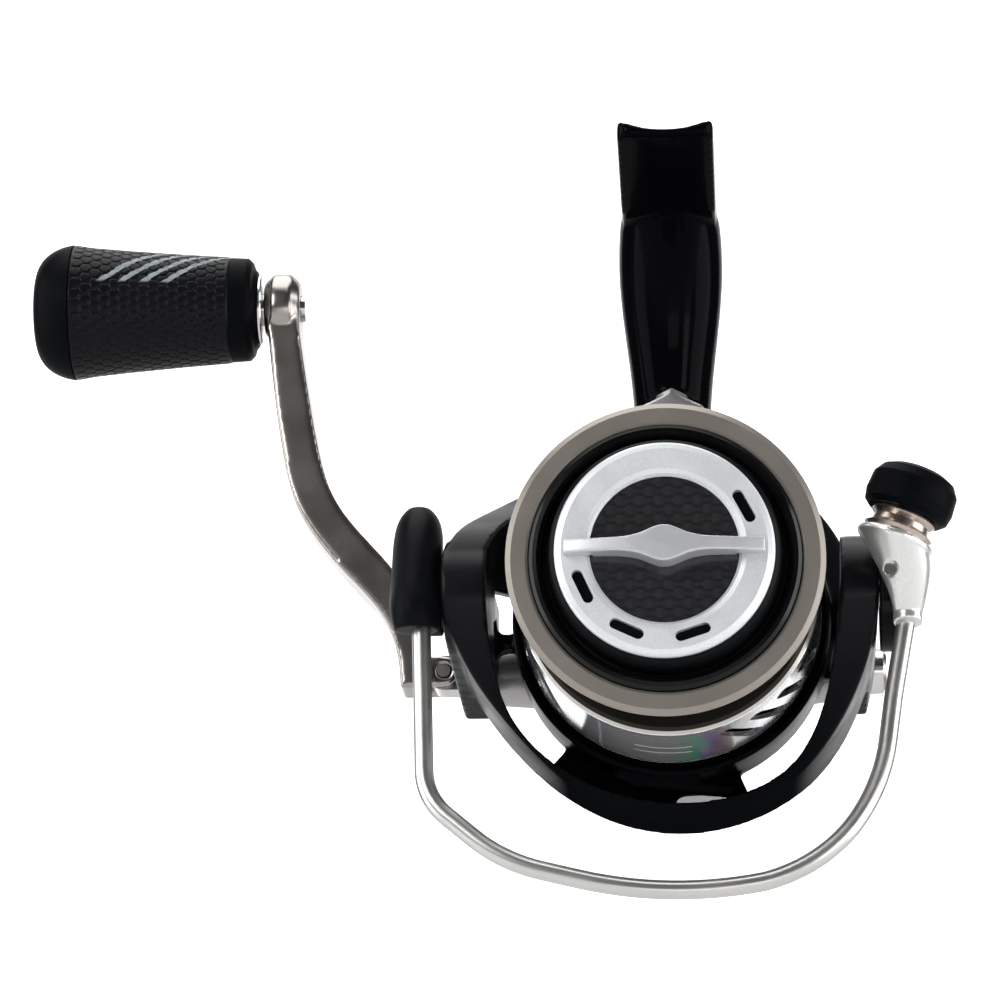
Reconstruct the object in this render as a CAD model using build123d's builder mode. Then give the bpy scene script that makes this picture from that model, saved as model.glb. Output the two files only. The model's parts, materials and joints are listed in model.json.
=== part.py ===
"""Open-face spinning reel, size 30, right-hand retrieve, built as its separate pieces.

Frame: the origin is the middle of the foot's saddle, where the rod's reel seat lies.
+Z points up into the rod, -Y is the front of the reel (the way the line leaves) and
+X is the side away from the handle. Lengths are millimetres.
"""
from build123d import *
from math import atan2, cos, hypot, pi, radians, sin
import os

os.makedirs("parts", exist_ok=True)

# ---- driving dimensions ----
SEAT_HEIGHT = 72.5          # rod seat above the main shaft
LIP_FORWARD = 50.0          # spool lip in front of the foot's middle
LIP_RADIUS = 23.4
SHAFT_R = 1.7
RUN = 0.06                  # radial running clearance
HANDLE_BACK = 56.0          # handle axis behind the spool lip
HANDLE_DROP = 4.6           # handle axis below the main shaft, so that the two shafts pass
DRIVE_R = 2.75
GEAR_MEAN_R = 13.5
GEAR_TEETH = 40
PINION_TEETH = 8
PINION_R = GEAR_MEAN_R * PINION_TEETH / GEAR_TEETH
PINION_BARREL_R = 3.2
OSC_MODULE = 0.7
OSC_DRIVER_TEETH = 12
OSC_GEAR_TEETH = 24
OSC_BACK = 68.0             # crosswind gear behind the spool lip
OSC_DROP = 8.44
STROKE = 6.0                # spool travel each way
PIVOT_BACK = 22.0           # bail pivots behind the spool lip
PIVOT_DROP = 0.5
LEFT_BOSS_X = -33.8         # outer faces of the two rotor arms
RIGHT_BOSS_X = 31.3
HUB_X = -38.6               # outer end of the handle's hinge knuckle
KNOB_ABOVE = 55.8           # handle knob above the main shaft

AXIS_Z = -SEAT_HEIGHT
FRONT = Plane(origin=(0, -LIP_FORWARD, AXIS_Z), x_dir=(1, 0, 0), z_dir=(0, -1, 0))
SIDE = Plane(origin=(0, -LIP_FORWARD, AXIS_Z), x_dir=(0, 1, 0), z_dir=(1, 0, 0))
MAIN_AXIS = Axis((0, -LIP_FORWARD, AXIS_Z), (0, 1, 0))


def cross_plane(back, rise):
    """A plane through a sideways axis: first coordinate along +X, second along +Z."""
    return Plane(origin=(0, back - LIP_FORWARD, AXIS_Z + rise), x_dir=(1, 0, 0), z_dir=(0, -1, 0))


def cross_axis(back, rise):
    """A sideways axis at a distance behind the lip and above the main shaft."""
    return Axis((0, back - LIP_FORWARD, AXIS_Z + rise), (1, 0, 0))


HANDLE = cross_plane(HANDLE_BACK, -HANDLE_DROP)
HANDLE_AXIS = cross_axis(HANDLE_BACK, -HANDLE_DROP)
OSC = cross_plane(OSC_BACK, -OSC_DROP)
OSC_AXIS = cross_axis(OSC_BACK, -OSC_DROP)
KNOB = cross_plane(HANDLE_BACK, KNOB_ABOVE)
KNOB_AXIS = cross_axis(HANDLE_BACK, KNOB_ABOVE)
PIVOT = cross_plane(PIVOT_BACK, -PIVOT_DROP)
PIVOT_AXIS = cross_axis(PIVOT_BACK, -PIVOT_DROP)


def front_at(back):
    """A plane across the main shaft, facing forward, a distance behind the lip."""
    return FRONT.offset(-back)


def side_at(x):
    """A plane facing +X at x: first coordinate behind the lip, second above the shaft."""
    return SIDE.offset(x)


def outline(points, plane=SIDE):
    """A closed face through straight-sided points."""
    with BuildSketch(plane) as sk:
        with BuildLine():
            Polyline(*points, close=True)
        make_face()
    return sk.sketch


def ring(start, end, outer, inner=0.0, plane=SIDE):
    """The half section of a plain ring, ready to revolve."""
    return outline([(start, inner), (start, outer), (end, outer), (end, inner)], plane)


def soft_ring(start, end, outer, inner, soft, plane=SIDE):
    """The half section of a ring whose outer corners are chamfered by soft."""
    return outline([(start, inner), (start, outer - soft), (start + soft, outer),
                    (end - soft, outer), (end, outer - soft), (end, inner)], plane)


def save(builder, name):
    """Label a finished piece and write its STEP file."""
    builder.part.label = name
    export_step(builder.part, f"parts/{name}.step")


def gear_face(teeth, pitch_r, add, ded, tip, root, start=0.0):
    """A spur gear's face: tip and root are tooth widths as shares of the pitch."""
    step = 2 * pi / teeth
    points = []
    for i in range(teeth):
        mid = start + i * step
        for side in (-1, 1):
            pairs = [(pitch_r - ded, root), (pitch_r + add, tip)]
            for r, share in (pairs if side < 0 else reversed(pairs)):
                a = mid + side * share * step / 2 * pitch_r / r
                points.append((r * cos(a), r * sin(a)))
    return points


# ======================= spool =======================
PORT_GROUPS = 3
PORTS_IN_GROUP = 4
with BuildPart() as spool:
    revolve(outline([(1.0, 17.8), (1.0, 20.1), (3.3, 20.1), (3.3, 21.9), (4.2, 20.6), (5.4, 16.4),
                     (6.2, 15.9), (16.2, 15.6), (17.2, 16.4), (17.4, 21.5), (18.4, 22.55),
                     (19.4, 22.4), (36.4, 22.9), (37.0, 22.6), (37.0, 22.0), (20.4, 21.5),
                     (19.6, 20.8), (18.9, 15.2), (18.4, 14.2), (14.5, 13.9), (14.5, 6.0),
                     (17.0, 6.0), (17.0, 4.0), (14.0, 4.0), (14.0, 2.3), (11.9, 2.3),
                     (11.9, 13.2), (3.0, 13.2), (3.0, 17.8)]), axis=MAIN_AXIS)
    # slanted ports through the skirt, in three groups
    for group in range(PORT_GROUPS):
        for k in range(PORTS_IN_GROUP):
            angle = -62 + group * 360 / PORT_GROUPS + k * 13
            port = Plane(origin=(22.2 * cos(radians(angle)), 28.4 - LIP_FORWARD,
                                 AXIS_Z + 22.2 * sin(radians(angle))),
                         x_dir=(0, 1, 0), z_dir=(cos(radians(angle)), 0, sin(radians(angle))))
            with BuildSketch(port):
                SlotOverall(12.5, 2.3, rotation=28)
            extrude(amount=2.2, both=True, mode=Mode.SUBTRACT)
save(spool, "spool")

with BuildPart() as lip_ring:
    revolve(outline([(0.25, 20.1), (0.0, 20.5), (0.0, 22.6), (0.5, LIP_RADIUS), (1.3, LIP_RADIUS),
                     (3.3, 22.0), (3.3, 20.1)]), axis=MAIN_AXIS)
save(lip_ring, "lip_ring")

with BuildPart() as seal_ring:
    revolve(outline([(1.0, 17.9), (0.1, 17.9), (-0.5, 18.2), (-0.8, 18.8), (-0.7, 19.4),
                     (-0.2, 19.9), (0.4, 20.05), (1.0, 20.05)]), axis=MAIN_AXIS)
save(seal_ring, "drag_seal_ring")

with BuildPart() as spool_bearing:
    revolve(ring(14.0, 17.0, 4.0, SHAFT_R + RUN), axis=MAIN_AXIS)
save(spool_bearing, "spool_bearing")

with BuildPart() as click_ratchet:
    with BuildSketch(front_at(16.6)):
        with BuildLine():
            Polyline(*gear_face(30, 10.0, 0.45, 0.45, 0.25, 0.75), close=True)
        make_face()
        Circle(6.0, mode=Mode.SUBTRACT)
    extrude(amount=1.2)
    revolve(ring(14.5, 15.5, 9.0, 6.0), axis=MAIN_AXIS)
save(click_ratchet, "click_ratchet")

with BuildPart() as line_clip:
    clip_plane = Plane(origin=(0, 27 - LIP_FORWARD, AXIS_Z + 22.75), x_dir=(1, 0, 0), z_dir=(0, 0, 1))
    with BuildSketch(clip_plane):
        SlotOverall(6.5, 3.6)
    extrude(amount=0.95)
save(line_clip, "line_clip")

# ---- drag stack: friction washers turn with the spool, metal ones are keyed to the shaft ----
with BuildPart() as friction_washers:
    for front in (11.1, 9.3, 7.5):
        revolve(ring(front, front + 0.8, 12.9, 4.2), axis=MAIN_AXIS)
save(friction_washers, "drag_friction_washers")

with BuildPart() as eared_washer:
    revolve(ring(8.3, 9.3, 13.0, 4.2), axis=MAIN_AXIS)
save(eared_washer, "drag_eared_washer")

with BuildPart() as keyed_washer:
    revolve(ring(10.1, 11.1, 12.6, SHAFT_R), axis=MAIN_AXIS)
save(keyed_washer, "drag_keyed_washer")

with BuildPart() as pressure_plate:
    revolve(outline([(3.2, SHAFT_R), (3.2, 6.5), (5.7, 6.5), (5.7, 12.0), (7.5, 12.6),
                     (7.5, SHAFT_R)]), axis=MAIN_AXIS)
save(pressure_plate, "drag_pressure_plate")

with BuildPart() as drag_retainer:
    revolve(ring(4.4, 5.2, 13.2, 12.3), axis=MAIN_AXIS)
    with BuildSketch(front_at(5.4)):
        with Locations((0, -12.75)):
            Rectangle(5.0, 2.0)
    extrude(amount=1.2, mode=Mode.SUBTRACT)
save(drag_retainer, "drag_retainer_ring")

# ======================= drag knob =======================
with BuildPart() as knob_spring_washer:
    revolve(outline([(2.5, SHAFT_R + 0.1), (2.5, 4.6), (3.2, 5.4), (3.2, SHAFT_R + 0.1)]), axis=MAIN_AXIS)
save(knob_spring_washer, "drag_spring_washer")

with BuildPart() as drag_nut:
    with BuildSketch(front_at(2.5)):
        RegularPolygon(4.6, 6)
        Circle(SHAFT_R + 0.05, mode=Mode.SUBTRACT)
    extrude(amount=5.4)
save(drag_nut, "drag_nut")

KNOB_FACE = -4.2            # front of the drag knob's body, ahead of the lip
with BuildPart() as drag_knob:
    revolve(outline([(2.6, 15.8), (2.6, 16.9), (2.2, 17.1), (-2.6, 17.0), (-3.7, 16.7), (KNOB_FACE, 16.1),
                     (KNOB_FACE, 0.0), (-2.9, 0.0), (-2.9, 6.2), (2.2, 6.2), (2.2, 7.6),
                     (-1.6, 7.6), (-1.6, 15.8)]), axis=MAIN_AXIS)
    with BuildSketch(front_at(2.2)):
        Circle(6.25)
        RegularPolygon(4.62, 6, mode=Mode.SUBTRACT)
    extrude(amount=5.1)
save(drag_knob, "drag_knob")

with BuildPart() as knob_ring:
    revolve(outline([(KNOB_FACE, 10.9), (-4.9, 10.9), (-5.3, 11.3), (-5.45, 12.0), (-5.45, 15.0),
                     (-5.2, 15.7), (-4.8, 16.0), (KNOB_FACE, 16.05)]), axis=MAIN_AXIS)
    for angle in (28, 205, 245, 288):
        with BuildSketch(front_at(KNOB_FACE)):
            with Locations((13.1 * cos(radians(angle)), 13.1 * sin(radians(angle)))):
                SlotOverall(5.3, 1.6, rotation=angle + 90)
        extrude(amount=2.0, mode=Mode.SUBTRACT)
save(knob_ring, "drag_knob_ring")

with BuildPart() as carbon_disc:
    revolve(ring(KNOB_FACE - 0.5, KNOB_FACE, 10.85), axis=MAIN_AXIS)
save(carbon_disc, "drag_knob_disc")

BAR_HALF = 14.6
with BuildPart() as knob_bar:
    with BuildSketch(front_at(KNOB_FACE - 0.5)):
        with BuildLine():
            Spline((-BAR_HALF, 1.1), (-8.0, 1.0), (-3.4, 1.6), (0, 2.7), (3.4, 1.6), (8.0, 1.0),
                   (BAR_HALF, 1.1))
            Line((BAR_HALF, 1.1), (BAR_HALF, -1.1))
            Spline((BAR_HALF, -1.1), (8.0, -1.0), (3.4, -1.6), (0, -2.7), (-3.4, -1.6), (-8.0, -1.0),
                   (-BAR_HALF, -1.1))
            Line((-BAR_HALF, -1.1), (-BAR_HALF, 1.1))
        make_face()
    extrude(amount=4.4)
    with BuildSketch(FRONT):
        with Locations((13.5, 0), (-13.5, 0)):
            Rectangle(6.0, 9.0)
    extrude(amount=5.45, mode=Mode.SUBTRACT)
    with BuildSketch(Plane(origin=(0, -LIP_FORWARD, AXIS_Z), x_dir=(1, 0, 0), z_dir=(0, 0, 1))) as arch:
        with BuildLine():
            ThreePointArc((-BAR_HALF, -7.3), (0, -9.1), (BAR_HALF, -7.3))
            Polyline((BAR_HALF, -7.3), (BAR_HALF, -12), (-BAR_HALF, -12), (-BAR_HALF, -7.3))
        make_face()
    extrude(amount=6, both=True, mode=Mode.SUBTRACT)
save(knob_bar, "drag_knob_bar")

# ======================= rotor =======================
COLLAR_R = 24.4             # ring that closes round the rear of the spool skirt
COLLAR_BORE = 23.5
ARMS_CENTRE = -1.3
ROTOR_BACK = 50.0           # rear face of the rotor behind the lip
with BuildPart() as lower_hoop:
    with BuildSketch(front_at(ROTOR_BACK)):
        with BuildLine():
            Spline((LEFT_BOSS_X, 0), (-31.3, -9.5), (-22, -21.2), (-9, -29.5), (2, -31.3), (13, -28.8),
                   (23.5, -21.3), (29.4, -11.5), (RIGHT_BOSS_X - 0.2, 0))
            Line((RIGHT_BOSS_X - 0.2, 0), (25.6, 0))
            Spline((25.6, 0), (24.6, -9.0), (22.6, -17.4), (19.2, -22.8), (12.4, -26.8), (0, -28.5),
                   (-16.0, -24.5), (-24.0, -17.6), (-26.4, -10.0), (-27.0, 0))
            Line((-27.0, 0), (LEFT_BOSS_X, 0))
        make_face()
    extrude(amount=38)
    with BuildSketch(SIDE):
        with BuildLine():
            Polyline((34, 1), (13.5, 1))
            Spline((13.5, 1), (16.5, -9), (27, -20), (37, -27.5), (42, -34))
            Polyline((42, -34), (50, -34), (50, -24))
            Spline((50, -24), (44, -16), (37, -8), (34, 1))
        make_face()
    extrude(amount=45, both=True, mode=Mode.INTERSECT)

with BuildPart() as upper_vane:
    with BuildSketch(front_at(ROTOR_BACK)):
        with BuildLine():
            Line((-27.0, -1), (-33.6, -1))
            Spline((-33.6, -1), (-33.2, 5.5), (-31.4, 9.4), (-28.2, 12.9), (-24.6, 16.6), (-14.0, 22.0),
                   (0, 25.2))
            Line((0, 25.2), (0, 21.0))
            Spline((0, 21.0), (-12.0, 19.0), (-20.0, 14.6), (-25.2, 9.4), (-27.2, 4.5), (-27.0, -1))
        make_face()
    extrude(amount=38)
    with BuildSketch(SIDE):
        with BuildLine():
            Polyline((36, -1), (14.5, -1))
            Spline((14.5, -1), (18, 9), (29, 16), (40, 24), (44, 27))
            Polyline((44, 27), (50, 27), (50, 14))
            Spline((50, 14), (42, 9), (36, -1))
        make_face()
    extrude(amount=45, both=True, mode=Mode.INTERSECT)


def rotor_arm(inner_x, outer_x, slot_turn):
    """One forward arm: a boss at the bail pivot and a web back to the rotor's floor."""
    with BuildPart() as arm:
        with BuildSketch(side_at(inner_x)):
            with BuildLine():
                Polyline((22, 8.2), (28, 5.6), (36, 4.4), (50, 5.0), (50, -13), (38, -11), (22, -9.2),
                         close=True)
            make_face()
            with Locations((PIVOT_BACK, -PIVOT_DROP)):
                Circle(8.7)
        extrude(amount=outer_x - inner_x)
        with BuildSketch(side_at(inner_x)):
            with Locations((39.5, -3.0)):
                SlotOverall(13, 6.0, rotation=slot_turn)
        extrude(amount=outer_x - inner_x, mode=Mode.SUBTRACT)
        with BuildSketch(front_at(ROTOR_BACK)):
            with Locations((ARMS_CENTRE, 0)):
                Ellipse(32.6, 40)
        extrude(amount=38, mode=Mode.INTERSECT)
    return arm.part


LEFT_ARM = rotor_arm(-27.0, LEFT_BOSS_X, 18)
RIGHT_ARM = rotor_arm(25.6, RIGHT_BOSS_X, -18)
WINDOWS = ((-66, -18), (-174, -132), (-194, -180))   # open sectors between collar and hoop, degrees
REACH = 40.0


def sector(low, high):
    """Corners of a wedge from the main axis outwards between two angles."""
    spread = [(low, 1.0), ((low + high) / 2, 1.2), (high, 1.0)]
    return [(0, 0)] + [(REACH * k * cos(radians(a)), REACH * k * sin(radians(a))) for a, k in spread]


with BuildPart() as rotor:
    revolve(outline([(28.4, PINION_BARREL_R), (28.4, 19.8), (29.6, 21.0), (44.2, 21.0), (44.2, COLLAR_BORE),
                     (38.4, COLLAR_BORE), (38.0, 23.9), (38.4, COLLAR_R), (46.5, COLLAR_R), (46.5, 29.5),
                     (50.0, 29.5), (50.0, 23.4), (46.7, 23.4), (45.7, 19.6), (30.9, 19.6),
                     (30.9, PINION_BARREL_R)]), axis=MAIN_AXIS)
    for low, high in WINDOWS:
        with BuildSketch(front_at(51)):
            with BuildLine():
                Polyline(*sector(low, high), close=True)
            make_face()
            Circle(COLLAR_R, mode=Mode.SUBTRACT)
        extrude(amount=5, mode=Mode.SUBTRACT)
    add(lower_hoop.part)
    add(upper_vane.part)
    add(LEFT_ARM)
    add(RIGHT_ARM)
    # slanted vane across the bottom, with a slit between it and the hoop
    with BuildSketch(front_at(43)):
        with BuildLine():
            Polyline((-9.5, -24.0), (-8.0, -23.2), (9.4, -25.8), (8.6, -27.2), (-6.0, -25.6), close=True)
        make_face()
    extrude(amount=3)
    with BuildSketch(front_at(51)):
        with Locations((4.2, -26.4)):
            SlotOverall(8.0, 2.1, rotation=3)
    extrude(amount=8, mode=Mode.SUBTRACT)
    # flat outer face for the bail lever, then the rooms for spool and body, and the pivot bores
    with BuildSketch(side_at(LEFT_BOSS_X)):
        with Locations((32, 0)):
            Rectangle(50, 80)
    extrude(amount=-5, mode=Mode.SUBTRACT)
    revolve(ring(0, 44.2, COLLAR_BORE, 21.0), axis=MAIN_AXIS, mode=Mode.SUBTRACT)
    revolve(ring(46.7, ROTOR_BACK + 1, 23.4), axis=MAIN_AXIS, mode=Mode.SUBTRACT)
    revolve(ring(LEFT_BOSS_X, LEFT_BOSS_X + 5.5, 2.0, plane=PIVOT), axis=PIVOT_AXIS, mode=Mode.SUBTRACT)
    revolve(ring(RIGHT_BOSS_X - 5.0, RIGHT_BOSS_X, 2.0, plane=PIVOT), axis=PIVOT_AXIS, mode=Mode.SUBTRACT)
    revolve(ring(LEFT_BOSS_X, LEFT_BOSS_X + 3.2, 6.2, plane=PIVOT), axis=PIVOT_AXIS, mode=Mode.SUBTRACT)
save(rotor, "rotor")

with BuildPart() as rotor_nut:
    with BuildSketch(front_at(28.4)):
        RegularPolygon(6.0, 6)
        Circle(PINION_BARREL_R, mode=Mode.SUBTRACT)
    extrude(amount=2.6)
save(rotor_nut, "rotor_nut")

with BuildPart() as pivot_screws:
    revolve(outline([(LEFT_BOSS_X - 4.6, 0), (LEFT_BOSS_X - 4.6, 3.2), (LEFT_BOSS_X - 3.2, 3.2),
                     (LEFT_BOSS_X - 3.2, 2.0), (LEFT_BOSS_X + 5.5, 2.0), (LEFT_BOSS_X + 5.5, 0)], PIVOT),
            axis=PIVOT_AXIS)
    revolve(outline([(RIGHT_BOSS_X + 2.2, 0), (RIGHT_BOSS_X + 2.2, 3.2), (RIGHT_BOSS_X + 1.4, 3.2),
                     (RIGHT_BOSS_X + 1.4, 2.0), (RIGHT_BOSS_X - 5.0, 2.0), (RIGHT_BOSS_X - 5.0, 0)], PIVOT),
            axis=PIVOT_AXIS)
save(pivot_screws, "bail_pivot_screws")

with BuildPart() as bail_spring:
    with BuildLine():
        coil = Helix(pitch=0.95, height=2.2, radius=4.4, direction=(1, 0, 0),
                     center=(LEFT_BOSS_X + 0.5, PIVOT_BACK - LIP_FORWARD, AXIS_Z - PIVOT_DROP))
    with BuildSketch(Plane(origin=coil @ 0, z_dir=coil % 0)):
        Circle(0.38)
    sweep()
save(bail_spring, "bail_spring")

# ======================= bail =======================
WIRE_R = 1.4
WIRE_TILT = radians(12.1)
WIRE = Plane(origin=(0, 13 - LIP_FORWARD, AXIS_Z - 7), x_dir=(1, 0, 0),
             z_dir=(0, cos(WIRE_TILT), -sin(WIRE_TILT)))
WIRE_ROUTE = [(-36.6, -3.0), (-35.5, 27.5), (-24.0, 37.6), (1.0, 44.0), (21.5, 39.4), (31.0, 26.8),
              (33.0, 12.0), (35.5, -2.5)]
with BuildPart() as bail_wire:
    with BuildLine(WIRE) as route:
        FilletPolyline(*WIRE_ROUTE, radius=[10, 24, 60, 24, 30, 60])
    with BuildSketch(Plane(origin=route.line @ 0, z_dir=route.line % 0)):
        Circle(WIRE_R)
    sweep(path=route.wires()[0])
save(bail_wire, "bail_wire")

LEVER_FACE = LEFT_BOSS_X - 0.1
LEVER_STATIONS = [  # rise, x, back, half width, half depth
    (-7.3, -37.2, 13.3, 3.3, 3.3), (-4.5, -37.5, 14.4, 3.75, 5.2), (0.5, -37.65, 18.5, 3.85, 7.6),
    (6.0, -37.6, 20.8, 3.8, 7.0), (11.0, -37.5, 22.0, 3.3, 4.6), (13.6, -37.5, 22.3, 1.6, 2.0)]
with BuildPart() as bail_lever:
    for rise, x, back, half_width, half_depth in LEVER_STATIONS:
        with BuildSketch(Plane(origin=(x, back - LIP_FORWARD, AXIS_Z + rise))):
            Ellipse(half_width, half_depth)
    loft()
    revolve(ring(LEVER_FACE - 2.5, LEVER_FACE, 5.5, plane=PIVOT), axis=PIVOT_AXIS)
    revolve(outline([(LEVER_FACE + 5, 0), (LEVER_FACE + 5, 30), (LEVER_FACE, 30), (LEVER_FACE, 2.0 + RUN),
                     (LEFT_BOSS_X - 3.15, 2.0 + RUN), (LEFT_BOSS_X - 3.15, 3.3), (LEFT_BOSS_X - 4.65, 3.3),
                     (LEFT_BOSS_X - 4.65, 0)], PIVOT), axis=PIVOT_AXIS, mode=Mode.SUBTRACT)
save(bail_lever, "bail_lever")

# ---- roller side: a tilted axis carries the cone's seat, the line roller and its cap ----
ROLLER_TILT = radians(21)
ROLLER = Plane(origin=(33.6, 9 - LIP_FORWARD, AXIS_Z + 4.4),
               x_dir=(sin(ROLLER_TILT), 0, cos(ROLLER_TILT)), z_dir=(0, -1, 0))
ROLLER_AXIS = Axis(ROLLER.origin, ROLLER.x_dir)
SEAT_PLANE = Plane(origin=ROLLER.origin + ROLLER.x_dir * -0.6, x_dir=(0, 1, 0), z_dir=ROLLER.x_dir)
NECK = Plane(origin=(35.35, 12.6 - LIP_FORWARD, AXIS_Z - 6.2), x_dir=(1, 0, 0), z_dir=(0, 0.21, 0.978))
with BuildPart() as bail_cone:
    with BuildSketch(SEAT_PLANE):
        Circle(5.6)
    with BuildSketch(Plane(origin=(35.2, 10.2 - LIP_FORWARD, AXIS_Z - 0.9))):
        Circle(3.5)
    with BuildSketch(NECK):
        Circle(2.1)
    loft()
    revolve(soft_ring(-0.65, 0.5, 5.8, 0, 0.3, ROLLER), axis=ROLLER_AXIS)
    with BuildSketch(NECK):
        Circle(2.2)
    extrude(amount=-1.2)
    with BuildSketch(cross_plane(12, -0.2)):
        with Locations((32.9, 0)):
            Circle(0.95)
    extrude(amount=12, mode=Mode.SUBTRACT)
    revolve(ring(-2.6, 1.0, 1.2, plane=ROLLER), axis=ROLLER_AXIS, mode=Mode.SUBTRACT)
save(bail_cone, "bail_cone")

with BuildPart() as cone_screw:
    with BuildSketch(cross_plane(12, -0.2)):
        with Locations((32.9, 0)):
            Circle(0.95)
    extrude(amount=4.6)
save(cone_screw, "cone_screw")

with BuildPart() as bail_arm:
    with BuildSketch(side_at(RIGHT_BOSS_X + 0.1)):
        with Locations((PIVOT_BACK, -PIVOT_DROP)):
            Circle(8.7)
        with BuildLine():
            Polyline((22, 7.5), (13, 5.0), (12, -4.0), (22, -8.5), close=True)
        make_face()
    extrude(amount=2.7)
    revolve(outline([(RIGHT_BOSS_X, 0), (RIGHT_BOSS_X, 2.0 + RUN), (RIGHT_BOSS_X + 1.35, 2.0 + RUN),
                     (RIGHT_BOSS_X + 1.35, 3.3), (RIGHT_BOSS_X + 3, 3.3), (RIGHT_BOSS_X + 3, 0)], PIVOT),
            axis=PIVOT_AXIS, mode=Mode.SUBTRACT)
    add(bail_cone.part, mode=Mode.SUBTRACT)
    add(cone_screw.part, mode=Mode.SUBTRACT)
    revolve(ring(-2.6, 8.0, 1.2, plane=ROLLER), axis=ROLLER_AXIS, mode=Mode.SUBTRACT)
    revolve(ring(0.5, 5.0, 5.6, plane=ROLLER), axis=ROLLER_AXIS, mode=Mode.SUBTRACT)
save(bail_arm, "bail_arm")

with BuildPart() as line_roller:
    revolve(outline([(0.62, 2.15), (0.62, 4.9), (1.3, 5.2), (1.9, 4.4), (2.8, 4.2), (3.5, 4.9), (3.9, 4.8),
                     (3.9, 2.15)], ROLLER), axis=ROLLER_AXIS)
save(line_roller, "line_roller")

with BuildPart() as roller_bush:
    revolve(ring(0.5, 4.0, 2.08, 1.2, ROLLER), axis=ROLLER_AXIS)
save(roller_bush, "roller_bush")

with BuildPart() as roller_screw:
    revolve(ring(-2.6, 8.0, 1.2, plane=ROLLER), axis=ROLLER_AXIS)
save(roller_screw, "roller_screw")

with BuildPart() as roller_cap:
    revolve(outline([(4.0, 1.2), (4.0, 5.6), (4.7, 6.4), (6.2, 6.7), (8.8, 6.5), (10.2, 5.6), (10.9, 4.2),
                     (11.1, 0), (8.0, 0), (8.0, 1.2)], ROLLER), axis=ROLLER_AXIS)
save(roller_cap, "roller_cap")

# ======================= shafts and gears =======================
with BuildPart() as main_shaft:
    revolve(ring(-2.0, 71.0, SHAFT_R), axis=MAIN_AXIS)
save(main_shaft, "main_shaft")

with BuildPart() as spool_support:
    revolve(ring(17.1, 19.4, 3.6, SHAFT_R), axis=MAIN_AXIS)
save(spool_support, "spool_support")

BEARING = (36.4, 39.6)       # front bearing behind the lip
with BuildPart() as pinion:
    revolve(ring(25.8, 40.2, PINION_BARREL_R, SHAFT_R + RUN), axis=MAIN_AXIS)
    with BuildSketch(front_at(44.4)):
        with BuildLine():
            Polyline(*gear_face(PINION_TEETH, PINION_R, 0.45, 0.5, 0.20, 0.44), close=True)
        make_face()
        Circle(SHAFT_R + RUN, mode=Mode.SUBTRACT)
    extrude(amount=4.2)
save(pinion, "pinion_gear")

GEAR_DISC = 3.3             # toothed side of the drive gear's disc
TOOTH_TIP = PINION_R - 0.42
with BuildPart() as drive_gear:
    revolve(outline([(GEAR_DISC, DRIVE_R), (GEAR_DISC, 15.6), (4.6, 15.6), (5.0, 14.6), (5.0, 12.0),
                     (4.6, 11.2), (4.6, 6.0), (7.4, 4.2), (7.4, DRIVE_R)], HANDLE), axis=HANDLE_AXIS)
    tooth_plane = Plane(origin=(0, HANDLE_BACK - 14.85 - LIP_FORWARD, AXIS_Z - HANDLE_DROP),
                        x_dir=(1, 0, 0), z_dir=(0, 1, 0))
    with BuildSketch(tooth_plane):
        with BuildLine():
            Polyline((TOOTH_TIP, -HANDLE_DROP - 0.26), (TOOTH_TIP, -HANDLE_DROP + 0.26),
                     (GEAR_DISC + 0.1, -HANDLE_DROP + 0.58), (GEAR_DISC + 0.1, -HANDLE_DROP - 0.58),
                     close=True)
        make_face()
    tooth = extrude(amount=2.7, mode=Mode.PRIVATE)
    for k in range(GEAR_TEETH):
        add(tooth.rotate(HANDLE_AXIS, (k + 0.5) * 360 / GEAR_TEETH))
save(drive_gear, "drive_gear")

with BuildPart() as drive_shaft:
    revolve(ring(-12.6, 11.0, DRIVE_R, 2.0, HANDLE), axis=HANDLE_AXIS)
save(drive_shaft, "drive_shaft")


# ---- crosswind gears: a small gear on the drive shaft turns a larger one with an eccentric pin ----
MESH_LINE = atan2(HANDLE_DROP - OSC_DROP, OSC_BACK - HANDLE_BACK)
DRIVER_PITCH_R = OSC_MODULE * OSC_DRIVER_TEETH / 2
OSC_PITCH_R = OSC_MODULE * OSC_GEAR_TEETH / 2
assert abs(hypot(HANDLE_DROP - OSC_DROP, OSC_BACK - HANDLE_BACK) - DRIVER_PITCH_R - OSC_PITCH_R) < 0.05


def shaft_plane(x, back, rise):
    """A plane facing +X with its middle on a sideways shaft."""
    return Plane(origin=(x, back - LIP_FORWARD, AXIS_Z + rise), x_dir=(0, 1, 0), z_dir=(1, 0, 0))


with BuildPart() as osc_driver:
    with BuildSketch(shaft_plane(-7.2, HANDLE_BACK, -HANDLE_DROP)):
        with BuildLine():
            Polyline(*gear_face(OSC_DRIVER_TEETH, DRIVER_PITCH_R, 0.5, 0.75, 0.24, 0.54, MESH_LINE),
                     close=True)
        make_face()
        Circle(DRIVE_R, mode=Mode.SUBTRACT)
    extrude(amount=2.2)
save(osc_driver, "oscillation_driver")

OSC_STUD_R = 2.0
OSC_PIN_R = 1.0
with BuildPart() as osc_gear:
    with BuildSketch(shaft_plane(-7.2, OSC_BACK, -OSC_DROP)):
        with BuildLine():
            Polyline(*gear_face(OSC_GEAR_TEETH, OSC_PITCH_R, 0.5, 0.75, 0.24, 0.54,
                                MESH_LINE + pi + pi / OSC_GEAR_TEETH), close=True)
        make_face()
        Circle(OSC_STUD_R + RUN, mode=Mode.SUBTRACT)
    extrude(amount=2.2)
    with BuildSketch(shaft_plane(-5.0, OSC_BACK, -OSC_DROP)):
        with Locations((0, -STROKE)):
            Circle(OSC_PIN_R)
    extrude(amount=1.0)
save(osc_gear, "oscillation_gear")

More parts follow.
